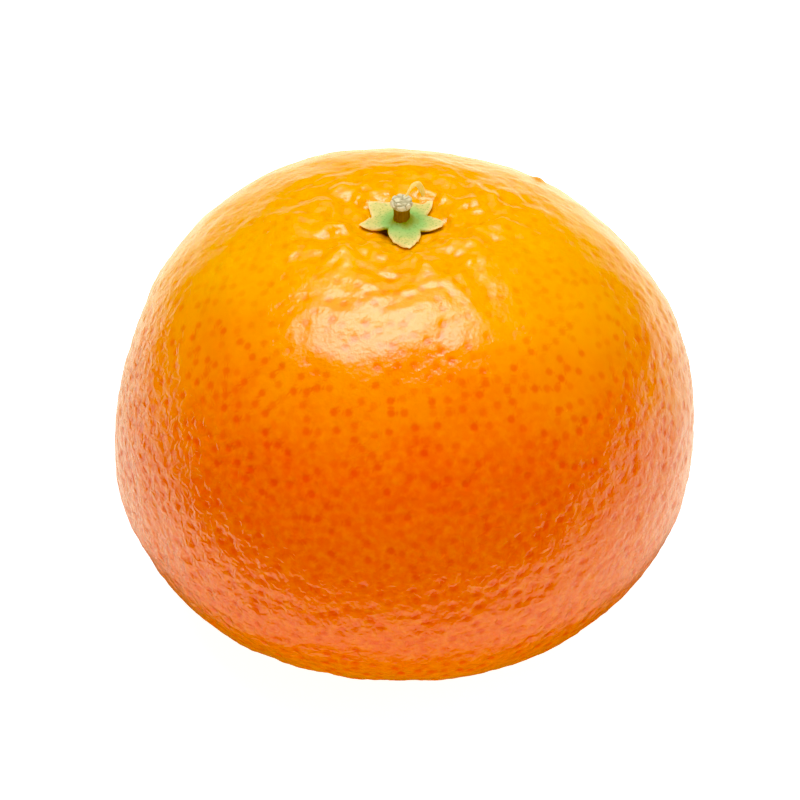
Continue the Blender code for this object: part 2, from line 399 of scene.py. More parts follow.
plate_reach = add(
    growth,
    "ShaderNodeMapRange",
    {
        "Value": from_plates,
        "From Min": PLATE_REACH * PLATE_FULL,
        "From Max": PLATE_REACH,
        "To Min": 1.0,
        "To Max": 0.0,
    },
    interpolation_type="SMOOTHSTEP",
)
plate_rise = add(growth, "ShaderNodeMath", {0: plates, 1: 0.5}, operation="SUBTRACT")
crown_reach = add(growth, "ShaderNodeMath", {0: plate_reach, 1: crown}, operation="MULTIPLY")
plate_share = add(growth, "ShaderNodeMath", {0: plate_rise, 1: crown_reach}, operation="MULTIPLY")
ring_out = add(
    growth,
    "ShaderNodeMath",
    {0: from_stem, 1: 1 / (STREAK_WIDTH * STREAKS_ROUND)},
    operation="MULTIPLY",
)
ring_step = add(growth, "ShaderNodeCombineXYZ", {"Z": ring_out})
ringed = add(growth, "ShaderNodeVectorMath", {0: bearing, 1: ring_step}, operation="ADD")
streaks = add(
    growth, "ShaderNodeTexNoise", {"Vector": ringed, "Scale": STREAKS_ROUND, "Detail": 2.0}
)
streak_rise = add(growth, "ShaderNodeMath", {0: streaks, 1: 0.5}, operation="SUBTRACT")
streak_share = add(
    growth, "ShaderNodeMath", {0: streak_rise, 1: crown_reach}, operation="MULTIPLY"
)
dents = add(
    growth, "ShaderNodeTexNoise", {"Vector": here, "Scale": 1 / DENT_SIZE, "Detail": 1.0}
)
dent_rise = add(growth, "ShaderNodeMath", {0: dents, 1: 0.5}, operation="SUBTRACT")
pebbles = add(
    growth, "ShaderNodeTexNoise", {"Vector": here, "Scale": 1 / PEBBLE_SIZE, "Detail": 1.0}
)
pebble_half = add(growth, "ShaderNodeMath", {0: pebbles, 1: 0.5}, operation="SUBTRACT")

glands = add(
    growth,
    "GeometryNodeDistributePointsOnFaces",
    {
        "Mesh": smooth,
        "Distance Min": given["Gland Spacing"],
        "Density Max": given["Glands per Area"],
        "Seed": given["Seed"],
    },
    distribute_method="POISSON",
)
nearest = add(growth, "GeometryNodeSampleNearest", {"Geometry": glands}, domain="POINT")
gland_place = add(
    growth,
    "GeometryNodeSampleIndex",
    {"Geometry": glands, "Value": here, "Index": nearest},
    data_type="FLOAT_VECTOR",
)
chance = add(growth, "FunctionNodeRandomValue", {"Seed": given["Seed"]}, data_type="FLOAT")
gland_chance = add(
    growth,
    "GeometryNodeSampleIndex",
    {"Geometry": glands, "Value": chance, "Index": nearest},
    data_type="FLOAT",
)
gland_size = add(
    growth, "ShaderNodeMapRange", {"Value": gland_chance, "To Min": GLAND_LEAST, "To Max": 1.0}
)
gland_offset = add(
    growth, "ShaderNodeVectorMath", {0: here, 1: gland_place}, operation="SUBTRACT"
)
gland_away = add(
    growth, "ShaderNodeVectorMath", {0: gland_offset}, operation="LENGTH"
).outputs["Value"]
gland_near = add(
    growth,
    "ShaderNodeMapRange",
    {
        "Value": gland_away,
        "From Min": GLAND_REACH[0],
        "From Max": GLAND_REACH[1],
        "To Min": 1.0,
        "To Max": 0.0,
    },
)
pit_share = add(
    growth, "ShaderNodeMath", {0: gland_away, 1: given["Pit Radius"]}, operation="DIVIDE"
)
pit_square = add(growth, "ShaderNodeMath", {0: pit_share, 1: pit_share}, operation="MULTIPLY")
pit_falls = add(growth, "ShaderNodeMath", {0: pit_square, 1: -1.0}, operation="MULTIPLY")
pit = add(growth, "ShaderNodeMath", {0: pit_falls}, operation="EXPONENT")
calm = add(
    growth,
    "ShaderNodeMapRange",
    {"Value": parts["Z"], "From Min": CALM[0], "From Max": CALM[1]},
    interpolation_type="SMOOTHSTEP",
)
pit_fade = add(growth, "ShaderNodeMapRange", {"Value": calm, "To Min": 1.0, "To Max": CALM_PITS})
pebble_rise = add(growth, "ShaderNodeMath", {0: pebble_half, 1: pit_fade}, operation="MULTIPLY")
full_pit = add(growth, "ShaderNodeMath", {0: pit, 1: gland_size}, operation="MULTIPLY")
sized_pit = add(growth, "ShaderNodeMath", {0: full_pit, 1: pit_fade}, operation="MULTIPLY")

near_place = {}
for name, radius in (("Hollow", HOLLOW_RADIUS), ("Wart", WART_RADIUS)):
    apart = add(growth, "ShaderNodeVectorMath", {0: here, 1: given[name]}, operation="DISTANCE")
    share = add(
        growth, "ShaderNodeMath", {0: apart.outputs["Value"], 1: radius}, operation="DIVIDE"
    )
    square = add(growth, "ShaderNodeMath", {0: share, 1: share}, operation="MULTIPLY")
    falls = add(growth, "ShaderNodeMath", {0: square, 1: -1.0}, operation="MULTIPLY")
    near_place[name] = add(growth, "ShaderNodeMath", {0: falls}, operation="EXPONENT")
wart_scab = add(
    growth, "ShaderNodeMath", {0: near_place["Wart"], 1: WART_TINT}, operation="MULTIPLY"
)
# the hollow's brown is partly a scar's colour and partly painted shade; the wart's is a real scab
scab_and_shade_share = add(
    growth,
    "ShaderNodeMath",
    {0: near_place["Hollow"], 1: wart_scab},
    operation="ADD",
    use_clamp=True,
)

kept = smooth
for name, kind, value in (
    ("scab_and_shade", "FLOAT", scab_and_shade_share),
    ("gland_offset", "FLOAT_VECTOR", gland_offset),
    ("gland_size", "FLOAT", gland_size),
    ("gland_near", "FLOAT", gland_near),
    ("calm", "FLOAT", calm),
):
    kept = add(
        growth,
        "GeometryNodeStoreNamedAttribute",
        {"Geometry": kept, "Name": name, "Value": value},
        data_type=kind,
    )

rise = add(growth, "ShaderNodeMath", {0: sized_pit, 1: given["Pit Depth"]}, operation="MULTIPLY")
rise = add(
    growth,
    "ShaderNodeMath",
    {0: near_place["Hollow"], 1: given["Hollow Depth"], 2: rise},
    operation="MULTIPLY_ADD",
)
rise = add(growth, "ShaderNodeMath", {0: rise, 1: -1.0}, operation="MULTIPLY")
for share, full in (
    (near_place["Wart"], given["Wart Height"]),
    (pucker_share, given["Pucker Height"]),
    (plate_share, given["Plate Height"]),
    (streak_share, given["Streak Height"]),
    (dent_rise, given["Dent Height"]),
    (pebble_rise, given["Pebble Height"]),
):
    rise = add(growth, "ShaderNodeMath", {0: share, 1: full, 2: rise}, operation="MULTIPLY_ADD")
normal = add(growth, "GeometryNodeInputNormal")
lift = add(growth, "ShaderNodeVectorMath", {0: normal, "Scale": rise}, operation="SCALE")
pitted = add(growth, "GeometryNodeSetPosition", {"Geometry": kept, "Offset": lift})
above_ground = add(
    growth, "ShaderNodeVectorMath", {0: here, 1: (-1.0, -1.0, 0.0)}, operation="MAXIMUM"
)
rested = add(growth, "GeometryNodeSetPosition", {"Geometry": pitted, "Position": above_ground})
shaded = add(growth, "GeometryNodeSetShadeSmooth", {0: rested})
realised = add(growth, "GeometryNodeRealizeInstances", {"Geometry": shaded})
finished = add(
    growth, "GeometryNodeSetMaterial", {"Geometry": realised, "Material": given["Material"]}
)
add(growth, "NodeGroupOutput", {"Peel": finished})


def grown(growth_tree, source, values):
    """Runs a geometry tree on a mesh, with values for its named inputs, and keeps a plain mesh."""
    holder = bpy.data.objects.new("holder", source)
    bpy.context.scene.collection.objects.link(holder)
    modifier = holder.modifiers.new("growth", "NODES")
    modifier.node_group = growth_tree
    for item in growth_tree.interface.items_tree:
        if item.in_out == "INPUT" and item.name in values:
            modifier[item.identifier] = values[item.name]
    graph = bpy.context.evaluated_depsgraph_get()
    made = bpy.data.meshes.new_from_object(
        holder.evaluated_get(graph), preserve_all_data_layers=True, depsgraph=graph
    )
    bpy.data.objects.remove(holder)
    return made


def show(name, mesh, *nodes, slot):
    """Puts a finished mesh in the scene in place of the solid nodes that it stands for."""
    piece = bpy.data.objects.new(name, mesh)
    bpy.context.scene.collection.objects.link(piece)
    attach(piece, "root")
    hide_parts(*nodes)
    return piece


fruit_low, fruit_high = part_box("fruit")
centre = (fruit_low + fruit_high) / 2
peel_mesh = grown(
    growth,
    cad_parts["fruit"].data.copy(),
    {
        "Centre": centre,
        "Divisions": PEEL_DIVISIONS,
        "Smoothing": PEEL_SMOOTHING,
        "Gland Spacing": GLAND_SPACING,
        "Glands per Area": GLANDS_PER_AREA,
        "Pit Radius": GLAND_PIT_RADIUS,
        "Pit Depth": GLAND_PIT_DEPTH,
        "Pucker Height": PUCKER_HEIGHT,
        "Plate Height": PLATE_HEIGHT,
        "Streak Height": STREAK_HEIGHT,
        "Dent Height": DENT_HEIGHT,
        "Pebble Height": PEBBLE_HEIGHT,
        "Hollow": HOLLOW,
        "Hollow Depth": HOLLOW_DEPTH,
        "Wart": WART,
        "Wart Height": WART_HEIGHT,
        "Seed": GLAND_SEED,
        "Material": peel,
    },
)
show("mandarin_peel", peel_mesh, "fruit", slot="rind")

# The calyx. The flower's calyx stays on the fruit as a leathery green disc with five sepals, which
# dry to cream along their edges. It grows from the stem, and only the tips come near the peel.

CALYX_EDGE = (  # azimuth and distance from the stem of its tips and notches, and the edge's lift
    (4, 0.00435, 0.00030),
    (16, 0.00335, 0.00020),
    (32, 0.00285, 0.0),
    (43, 0.00385, 0.00005),
    (54, 0.00535, 0.00010),
    (62, 0.00445, 0.00005),
    (77, 0.00380, 0.0),
    (96, 0.00290, 0.0),
    (114, 0.00400, 0.0),
    (126, 0.00460, 0.00005),
    (138, 0.00520, 0.00010),
    (146, 0.00440, 0.00005),
    (161, 0.00360, 0.0),
    (175, 0.00400, 0.00010),
    (187, 0.00480, 0.00025),
    (195, 0.00390, 0.00010),
    (201, 0.00315, 0.0),
    (206, 0.00225, 0.0),
    (212, 0.00195, 0.0),
    (245, 0.00310, 0.00005),
    (258, 0.00400, 0.00005),
    (277, 0.00515, 0.00005),
    (298, 0.00340, 0.0),
    (321, 0.00225, 0.0),
    (333, 0.00310, 0.00020),
    (344, 0.00380, 0.00025),
)
SEPAL_TIPS = (4, 54, 138, 187, 277)
DISC_LEVEL = 0.04695  # height of the disc's underside, over the hollow of the stem's dimple
DISC_DROOP = 0.00035  # how far its outer edge hangs below that, where the peel leaves room
CORE_RADIUS = 0.0015  # the part that grows down into the peel
CORE_DEPTH = 0.0003
DISC_THICKNESS = 0.00055
TIP_THICKNESS = 0.00035
TIP_GAP = 0.00006
SEPAL_REACH = 0.005  # distance from the stem where it is thinnest and hangs lowest
WRINKLES = ((0.00008, 0.0007), (0.00003, 0.00025))  # height and size of each layer of them
COLLAR_RADIUS = 0.0012  # the ring that swells round the foot of the stem
COLLAR_HEIGHT = 0.00048
VEIN_DEPTH = 0.00006
VEIN_WIDTH = 0.00016
CALYX_SIDES = 360
CALYX_RINGS = 28
STAIN_SIZE = 0.0009
STAIN_SHIFT = 0.0014  # how far the stains move the changes of colour from the stem outwards
LOBE_EDGE = (0.0024, 0.0042)  # the green turns yellower between these distances from the stem
NECK_EDGE = (0.0017, 0.0024)  # the olive round the neck fades out between these
DRY_EDGE = (0.00018, 0.00062)  # the dried cream border fades between these, in from the edge
SPECK_SIZE = 0.00032
LEAF_GRAIN = 0.00018

# Fresh sepal: a soft matt leaf surface, green in the middle, yellower out along the lobes and cream
# where the thin edges have dried, with tiny dark specks.
sepal, tree, shader = new_material("fresh_sepal")
place = add(tree, "ShaderNodeTexCoord").outputs["Object"]
parts = add(tree, "ShaderNodeSeparateXYZ", {"Vector": place}).outputs
across = add(tree, "ShaderNodeCombineXYZ", {"X": parts["X"], "Y": parts["Y"]})
from_stem = add(tree, "ShaderNodeVectorMath", {0: across}, operation="LENGTH").outputs["Value"]
stains = add(
    tree, "ShaderNodeTexNoise", {"Vector": place, "Scale": 1 / STAIN_SIZE, "Detail": 3.0}
)
stained = add(
    tree, "ShaderNodeMath", {0: stains, 1: STAIN_SHIFT, 2: from_stem}, operation="MULTIPLY_ADD"
)
lobe_share = add(
    tree,
    "ShaderNodeMapRange",
    {"Value": stained, "From Min": LOBE_EDGE[0], "From Max": LOBE_EDGE[1]},
    interpolation_type="SMOOTHSTEP",
)
neck_share = add(
    tree,
    "ShaderNodeMapRange",
    {
        "Value": stained,
        "From Min": NECK_EDGE[0],
        "From Max": NECK_EDGE[1],
        "To Min": 1.0,
        "To Max": 0.0,
    },
)
to_edge = add(tree, "ShaderNodeAttribute", attribute_name="to_edge").outputs["Fac"]
edge_shift = add(
    tree, "ShaderNodeMath", {0: stains, 1: 0.0003, 2: to_edge}, operation="MULTIPLY_ADD"
)
dry_share = add(
    tree,
    "ShaderNodeMapRange",
    {
        "Value": edge_shift,
        "From Min": DRY_EDGE[0],
        "From Max": DRY_EDGE[1],
        "To Min": 0.9,
        "To Max": 0.0,
    },
    interpolation_type="SMOOTHSTEP",
)
dry_out = add(tree, "ShaderNodeMath", {0: dry_share, 1: lobe_share}, operation="MULTIPLY")
specks = add(tree, "ShaderNodeTexVoronoi", {"Vector": place, "Scale": 1 / SPECK_SIZE})
speck = add(
    tree,
    "ShaderNodeMapRange",
    {
        "Value": specks.outputs["Distance"],
        "From Min": 0.12,
        "From Max": 0.42,
        "To Min": 0.60,
        "To Max": 0.0,
    },
)
tinted = add(
    tree,
    "ShaderNodeMix",
    {0: lobe_share, 6: colour("92BD66"), 7: colour("D4C878")},
    data_type="RGBA",
)
for share, tint in ((neck_share, "94A03C"), (speck, "70963C"), (dry_out, "F6D890")):
    tinted = add(
        tree,
        "ShaderNodeMix",
        {0: share, 6: tinted.outputs[2], 7: colour(tint)},
        data_type="RGBA",
    )
tree.links.new(tinted.outputs[2], shader.inputs["Base Color"])
grain = add(tree, "ShaderNodeTexNoise", {"Vector": place, "Scale": 1 / LEAF_GRAIN, "Detail": 3.0})
relief = add(tree, "ShaderNodeBump", {"Height": grain, "Distance": 0.00004, "Strength": 1.0})
tree.links.new(relief.outputs[0], shader.inputs["Normal"])
shader.inputs["Roughness"].default_value = 0.55
shader.inputs["IOR"].default_value = 1.45

peel_surface = BVHTree.FromPolygons(
    [vertex.co for vertex in peel_mesh.vertices], [face.vertices for face in peel_mesh.polygons]
)


def peel_height(x, y):
    """Height of the finished peel at a point near the stem."""
    return peel_surface.ray_cast(Vector((x, y, 0.06)), Vector((0.0, 0.0, -1.0)))[0].z


def calyx_edge(azimuth):
    """Distance of the calyx's edge from the stem, and its lift, at an azimuth in degrees."""
    before = max((corner for corner in CALYX_EDGE if corner[0] <= azimuth), default=CALYX_EDGE[-1])
    after = min((corner for corner in CALYX_EDGE if corner[0] > azimuth), default=CALYX_EDGE[0])
    span = (after[0] - before[0]) % 360
    share = ((azimuth - before[0]) % 360) / span
    return tuple(b + (a - b) * share for b, a in zip(before[1:], after[1:]))


def calyx_point(share, azimuth, side):
    """A point of the calyx: share of the way to its edge, on its upper (1) or under (-1) side."""
    reach, lift = calyx_edge(azimuth)
    from_axis = share * reach
    turn = math.radians(azimuth)
    x, y = from_axis * math.cos(turn), from_axis * math.sin(turn)
    skin = peel_height(x, y)
    spot = Vector((x, y, 0.0))
    outer = min(max((from_axis - CORE_RADIUS) / (SEPAL_REACH - CORE_RADIUS), 0.0), 1.0)
    wrinkle = sum(height * noise.noise(spot / size) for height, size in WRINKLES)
    level = DISC_LEVEL - DISC_DROOP * outer
    under = max(skin + TIP_GAP, level) + 0.5 * lift * share**2 + wrinkle
    thickness = DISC_THICKNESS + (TIP_THICKNESS - DISC_THICKNESS) * outer
    rounding = math.sqrt(max(1.0 - share**10, 0.0))
    middle = under + 0.5 * thickness
    if side < 0:
        core = math.exp(-((from_axis / CORE_RADIUS) ** 6))
        low = middle - 0.5 * thickness * rounding
        return Vector((x, y, low + (skin - CORE_DEPTH - low) * core))
    collar = COLLAR_HEIGHT * math.exp(-((from_axis / COLLAR_RADIUS) ** 4))
    from_vein = min(abs((azimuth - tip + 180) % 360 - 180) for tip in SEPAL_TIPS)
    off_vein = from_axis * math.sin(math.radians(from_vein))
    vein = VEIN_DEPTH * outer * math.exp(-((off_vein / VEIN_WIDTH) ** 2))
    return Vector((x, y, middle + (0.5 * thickness + collar - vein) * rounding))


def skinned(rows, start_pole, end_pole):
    """A closed mesh through rows of points, each a ring, with a pole at both ends."""
    shape = bmesh.new()
    rings = [[shape.verts.new(point) for point in row] for row in rows]
    for ring, following in zip(rings, rings[1:]):
        for i in range(len(ring)):
            j = (i + 1) % len(ring)
            shape.faces.new((ring[i], ring[j], following[j], following[i]))
    for ring, pole in ((rings[0], start_pole), (rings[-1], end_pole)):
        tip = shape.verts.new(pole)
        for i in range(len(ring)):
            shape.faces.new((ring[i], ring[(i + 1) % len(ring)], tip))
    bmesh.ops.recalc_face_normals(shape, faces=shape.faces)
    return shape


def finished_mesh(name, shape, finish):
    """Turns a bmesh into a smooth mesh with one material."""
    made = bpy.data.meshes.new(name)
    shape.to_mesh(made)
    shape.free()
    made.shade_smooth()
    made.materials.append(finish)
    return made


turns = [360.0 * i / CALYX_SIDES for i in range(CALYX_SIDES)]
shares = [math.sin(0.5 * math.pi * ring / CALYX_RINGS) for ring in range(1, CALYX_RINGS + 1)]
under = [[calyx_point(share, turn, -1) for turn in turns] for share in shares]
top = [[calyx_point(share, turn, 1) for turn in turns] for share in reversed(shares[:-1])]
shape = skinned(under + top, calyx_point(0.0, 0.0, -1), calyx_point(0.0, 0.0, 1))
edge = KDTree(CALYX_SIDES)
for i, point in enumerate(under[-1]):
    edge.insert(point, i)
edge.balance()
to_edge_layer = shape.verts.layers.float.new("to_edge")
for vertex in shape.verts:
    vertex[to_edge_layer] = edge.find(vertex.co)[2]
calyx_mesh = finished_mesh("calyx", shape, sepal)
show("green_calyx", calyx_mesh, "calyx", slot="sepal_green")

# The stub of stem. The stem was cut just above the calyx: its bark has dried to a dark brown neck,
# and the cut end has swollen to pale corky knobs with cracks between them.

STUB_SINK = 0.0002  # how far its foot is sunk in the collar
calyx_top = calyx_point(0.0, 0.0, 1).z - STUB_SINK
NECK_BASE = 0.00084
NECK_TOP = 0.00096
CUT_END_RADIUS = 0.00113
CUT_END_HEIGHT = 0.0025  # of its top above the foot
NECK_HEIGHT = 0.0016
KNOB_SIZE = 0.00080
KNOB_HEIGHT = 0.00020
KNOB_SHIFT = (3.1, 0.7, 5.2)  # which part of the pattern of knobs the stub shows
CRACK_SHARE = 0.30  # width of a crack, as a share of a knob
FIBRE_HEIGHT = 0.00007
FIBRE_SIZE = 0.0004
CRUMB_HEIGHT = 0.00004
CRUMB_SIZE = 0.00025
BARK_GRAIN = 0.00022
CORK_GRAIN = 0.00030
STUB_SIDES = 120
STUB_ROWS = 80
STUB_PLACE = (-0.00022, -0.00005)  # its middle leans a little to the left

# Dried bark and cork: matt and rough, dark brown and olive down the neck in fine upright fibres,
# and ash-cream over the knobs, with brown in the cracks.
bark, tree, shader = new_material("dried_bark_and_cork")
place = add(tree, "ShaderNodeTexCoord").outputs["Object"]
cork_share = add(tree, "ShaderNodeAttribute", attribute_name="cork").outputs["Fac"]
crack = add(tree, "ShaderNodeAttribute", attribute_name="crack").outputs["Fac"]
drawn_up = add(tree, "ShaderNodeVectorMath", {0: place, 1: (1.0, 1.0, 0.2)}, operation="MULTIPLY")
fibres = add(
    tree, "ShaderNodeTexNoise", {"Vector": drawn_up, "Scale": 1 / BARK_GRAIN, "Detail": 3.0}
)
bark_brown = add(
    tree,
    "ShaderNodeMix",
    {0: fibres, 6: colour("5A2C12"), 7: colour("9A7028")},
    data_type="RGBA",
)
crumbs = add(
    tree, "ShaderNodeTexNoise", {"Vector": place, "Scale": 1 / CORK_GRAIN, "Detail": 4.0}
)
cork_pale = add(
    tree,
    "ShaderNodeMix",
    {0: crumbs, 6: colour("C2B68A"), 7: colour("F0E8CA")},
    data_type="RGBA",
)
cracked = add(
    tree,
    "ShaderNodeMix",
    {0: crack, 6: cork_pale.outputs[2], 7: colour("A79C78")},
    data_type="RGBA",
)
barked = add(
    tree,
    "ShaderNodeMix",
    {0: cork_share, 6: bark_brown.outputs[2], 7: cracked.outputs[2]},
    data_type="RGBA",
)
tree.links.new(barked.outputs[2], shader.inputs["Base Color"])
relief = add(tree, "ShaderNodeBump", {"Height": crumbs, "Distance": 0.00006, "Strength": 1.0})
tree.links.new(relief.outputs[0], shader.inputs["Normal"])
shader.inputs["Roughness"].default_value = 0.85

profile = (  # radius and height above the calyx, from the sunk foot up to the middle of the cut end
    (NECK_BASE * 1.15, -0.0004),
    (NECK_BASE * 1.05, 0.0),
    (NECK_BASE, 0.0004),
    (NECK_BASE, 0.0009),
    (NECK_TOP, NECK_HEIGHT - 0.0001),
    (CUT_END_RADIUS, NECK_HEIGHT + 0.0002),
    (CUT_END_RADIUS * 1.04, NECK_HEIGHT + 0.0004),
    (CUT_END_RADIUS * 0.98, CUT_END_HEIGHT - 0.0002),
    (CUT_END_RADIUS * 0.78, CUT_END_HEIGHT),
    (CUT_END_RADIUS * 0.45, CUT_END_HEIGHT - 0.00003),
    (CUT_END_RADIUS * 0.12, CUT_END_HEIGHT - 0.0001),
)


def along(route, share):
    """A point of the smooth Catmull-Rom curve through a route's points."""
    points = [Vector(p) for p in route]
    spans = len(points) - 1
    span = min(int(share * spans), spans - 1)
    part = share * spans - span
    before, start = points[max(span - 1, 0)], points[span]
    end, after = points[span + 1], points[min(span + 2, spans)]
    return 0.5 * (
        2.0 * start
        + (end - before) * part
        + (2.0 * before - 5.0 * start + 4.0 * end - after) * part**2
        + (3.0 * start - before - 3.0 * end + after) * part**3
    )


def stub_point(share, azimuth):
    """A point of the stub with its knobs, its share of cork and how deep in a crack it is."""
    radius, height = along([(r, h, 0.0) for r, h in profile], share).xy
    out = Vector((math.cos(azimuth), math.sin(azimuth), 0.0))
    point = radius * out + Vector((0.0, 0.0, height))
    cork = min(max((height - NECK_HEIGHT + 0.00015) / 0.0003, 0.0), 1.0)
    nearest, second = noise.voronoi(point / KNOB_SIZE + Vector(KNOB_SHIFT))[0][:2]
    crack = max(1.0 - (second - nearest) / CRACK_SHARE, 0.0) ** 1.5
    on_top = min(max((height - NECK_HEIGHT) / (CUT_END_HEIGHT - NECK_HEIGHT), 0.0), 1.0)
    push = out * (1.0 - 0.6 * on_top) + Vector((0.0, 0.0, 1.0)) * on_top
    swell = cork * KNOB_HEIGHT * (0.35 - crack)
    upright = Vector((point.x, point.y, 0.3 * point.z))
    swell += (1.0 - cork) * FIBRE_HEIGHT * noise.noise(upright / FIBRE_SIZE)
    swell += CRUMB_HEIGHT * noise.noise(point / CRUMB_SIZE)
    point += push * swell
    point += Vector((*STUB_PLACE, calyx_top))
    return point, cork, crack * cork


turns = [math.tau * i / STUB_SIDES for i in range(STUB_SIDES)]
made_rows = [[stub_point(row / STUB_ROWS, turn) for turn in turns] for row in range(STUB_ROWS + 1)]
rows = [[point for point, _, _ in row] for row in made_rows]
shape = skinned(
    rows,
    Vector((*STUB_PLACE, calyx_top - 0.0004)),
    sum(rows[-1], Vector()) / STUB_SIDES,
)
cork_layer = shape.verts.layers.float.new("cork")
crack_layer = shape.verts.layers.float.new("crack")
shape.verts.ensure_lookup_table()
for i, (_, cork, crack_depth) in enumerate(sum(made_rows, [])):
    shape.verts[i][cork_layer] = cork
    shape.verts[i][crack_layer] = crack_depth
shape.verts[-1][cork_layer] = 1.0
stub_mesh = finished_mesh("stem_stub", shape, bark)
show("cut_stem", stub_mesh, "stem_stub", slot="dried_stem")

# The torn bark. One fibre of bark tore up when the stem was cut: it stands up from the cut end to
# the back right, then widens to a thin pale film that droops over.

STRAND_ROUTE = (  # from the middle of the cut end's top: right, back, up
    (0.0003, 0.0003, -0.0004),
    (0.0007, 0.0007, 0.0004),
    (0.0012, 0.0011, 0.0010),
    (0.0017, 0.0013, 0.0010),
    (0.0021, 0.0015, 0.0003),
    (0.0023, 0.0016, -0.0007),
)
STRAND_WIDTHS = (0.00036, 0.00028, 0.00040, 0.00066, 0.00062, 0.00034)
STRAND_THICKNESS = 0.00016
THREAD_SIZE = 0.00012
STRAND_SIDES = 16
STRAND_STEPS = 60

# Dried bast: a pale straw-coloured film, thin enough for light to soften it.
bast, tree, shader = new_material("dried_bast")
place = add(tree, "ShaderNodeTexCoord").outputs["Object"]
drawn = add(tree, "ShaderNodeVectorMath", {0: place, 1: (1.0, 1.0, 0.25)}, operation="MULTIPLY")
threads = add(
    tree, "ShaderNodeTexNoise", {"Vector": drawn, "Scale": 1 / THREAD_SIZE, "Detail": 2.0}
)
straw = add(
    tree,
    "ShaderNodeMix",
    {0: threads, 6: colour("EDB650"), 7: colour("FFDC92")},
    data_type="RGBA",
)
tree.links.new(straw.outputs[2], shader.inputs["Base Color"])
relief = add(tree, "ShaderNodeBump", {"Height": threads, "Distance": 0.00002, "Strength": 1.0})
tree.links.new(relief.outputs[0], shader.inputs["Normal"])
shader.inputs["Roughness"].default_value = 0.6
shader.inputs["Subsurface Weight"].default_value = 0.5
shader.inputs["Subsurface Radius"].default_value = (0.0006, 0.0004, 0.0002)
shader.inputs["Subsurface Scale"].default_value = 1.0

cut_end_middle = Vector((*STUB_PLACE, calyx_top + CUT_END_HEIGHT))
rows = []
for step in range(STRAND_STEPS + 1):
    share = step / STRAND_STEPS
    here = along(STRAND_ROUTE, share)
    ahead = along(STRAND_ROUTE, min(share + 0.02, 1.0))
    heading = ahead - along(STRAND_ROUTE, max(share - 0.02, 0.0))
    side = heading.cross(Vector((0.0, -0.8, 0.6))).normalized()
    face = heading.cross(side).normalized()
    half_width = 0.5 * along([(w, 0.0, 0.0) for w in STRAND_WIDTHS], share).x
    half_width *= 1.0 + 0.25 * noise.noise(Vector((share * 9.0, 0.0, 0.0)))
    half_thickness = 0.5 * STRAND_THICKNESS * (1.3 - 0.6 * share)
    rows.append(
        [
            cut_end_middle
            + here
            + half_width * math.cos(math.tau * i / STRAND_SIDES) * side
            + half_thickness * math.sin(math.tau * i / STRAND_SIDES) * face
            for i in range(STRAND_SIDES)
        ]
    )
middles = [sum(row, Vector()) / STRAND_SIDES for row in (rows[0], rows[-1])]
strand_mesh = finished_mesh("strand", skinned(rows, middles[0], middles[1]), bast)
show("bark_strand", strand_mesh, "stem_stub", slot="dried_stem")

# The floor: a plain white light table. The peel's gloss mirrors a painted pattern in its glow: a
# painted shadow close round the fruit and a painted pool of light further out, which ends a little
# in front of it. Its matt colour is lit by an even painted glow, stronger where the fruit stands.
# The camera sees the sheet evenly white, without a shadow.

FLOOR_HALF = 3.0
SHADED_RADIUS = 0.031
LIT_RADIUS = 0.10
FADED_RADIUS = 0.45
FRONT_EDGE = -0.0567  # the lit part ends here in front, and slants back at the left
FRONT_SLANT = 0.47
SLANT_SPAN = (-0.12, -0.01)  # from left to right, where it slants
FRONT_FADE = 0.008
SEEN_GLOW = 0.90  # what the camera sees, which the room's light brings up to white
CAST_GLOW = 0.37  # what lights the fruit
CONTACT_GLOW = 0.90  # and what lights it from close round its foot
CONTACT_EDGE = (0.032, 0.046)  # the one turns into the other between these radii

sheet, tree, shader = new_material("light_table_sheet")
place = add(tree, "ShaderNodeTexCoord").outputs["Object"]
from_middle = add(tree, "ShaderNodeVectorMath", {0: place}, operation="LENGTH").outputs["Value"]
parts = add(tree, "ShaderNodeSeparateXYZ", {"Vector": place}).outputs
leftward = add(
    tree, "ShaderNodeClamp", {"Value": parts["X"], "Min": SLANT_SPAN[0], "Max": SLANT_SPAN[1]}
)
to_front = add(
    tree, "ShaderNodeMath", {0: leftward, 1: FRONT_SLANT, 2: parts["Y"]}, operation="MULTIPLY_ADD"
)

# The glow that the gloss mirrors, with its painted shadow and painted pool of light, is a product
# of shares: what each is measured by, where it starts to change and where it ends, and the share
# before and after.
glow = 1.0
for value, start, end, near_share, far_share in (
    (from_middle, SHADED_RADIUS, SHADED_RADIUS + 0.010, 0.07, 1.0),
    (from_middle, LIT_RADIUS, FADED_RADIUS, 1.85, 1.0),
    (parts["Y"], 0.10, 0.6, 1.0, 1.1),
    (to_front, FRONT_EDGE - FRONT_FADE, FRONT_EDGE + FRONT_FADE, 0.06, 1.0),
):
    share = add(
        tree,
        "ShaderNodeMapRange",
        {
            "Value": value,
            "From Min": start,
            "From Max": end,
            "To Min": near_share,
            "To Max": far_share,
        },
        interpolation_type="SMOOTHSTEP",
    )
    glow = add(tree, "ShaderNodeMath", {0: glow, 1: share}, operation="MULTIPLY")
rays = add(tree, "ShaderNodeLightPath").outputs
mirrored = rays["Is Glossy Ray"]
cast_glow = add(
    tree,
    "ShaderNodeMapRange",
    {
        "Value": from_middle,
        "From Min": CONTACT_EDGE[0],
        "From Max": CONTACT_EDGE[1],
        "To Min": CONTACT_GLOW,
        "To Max": CAST_GLOW,
    },
)
cast = add(tree, "ShaderNodeMix", {0: mirrored, 2: cast_glow, 3: glow}, data_type="FLOAT")
seen_glow = add(
    tree, "ShaderNodeMix", {0: rays["Is Camera Ray"], 2: cast, 3: SEEN_GLOW}, data_type="FLOAT"
)
tree.links.new(seen_glow.outputs[0], shader.inputs["Emission Strength"])
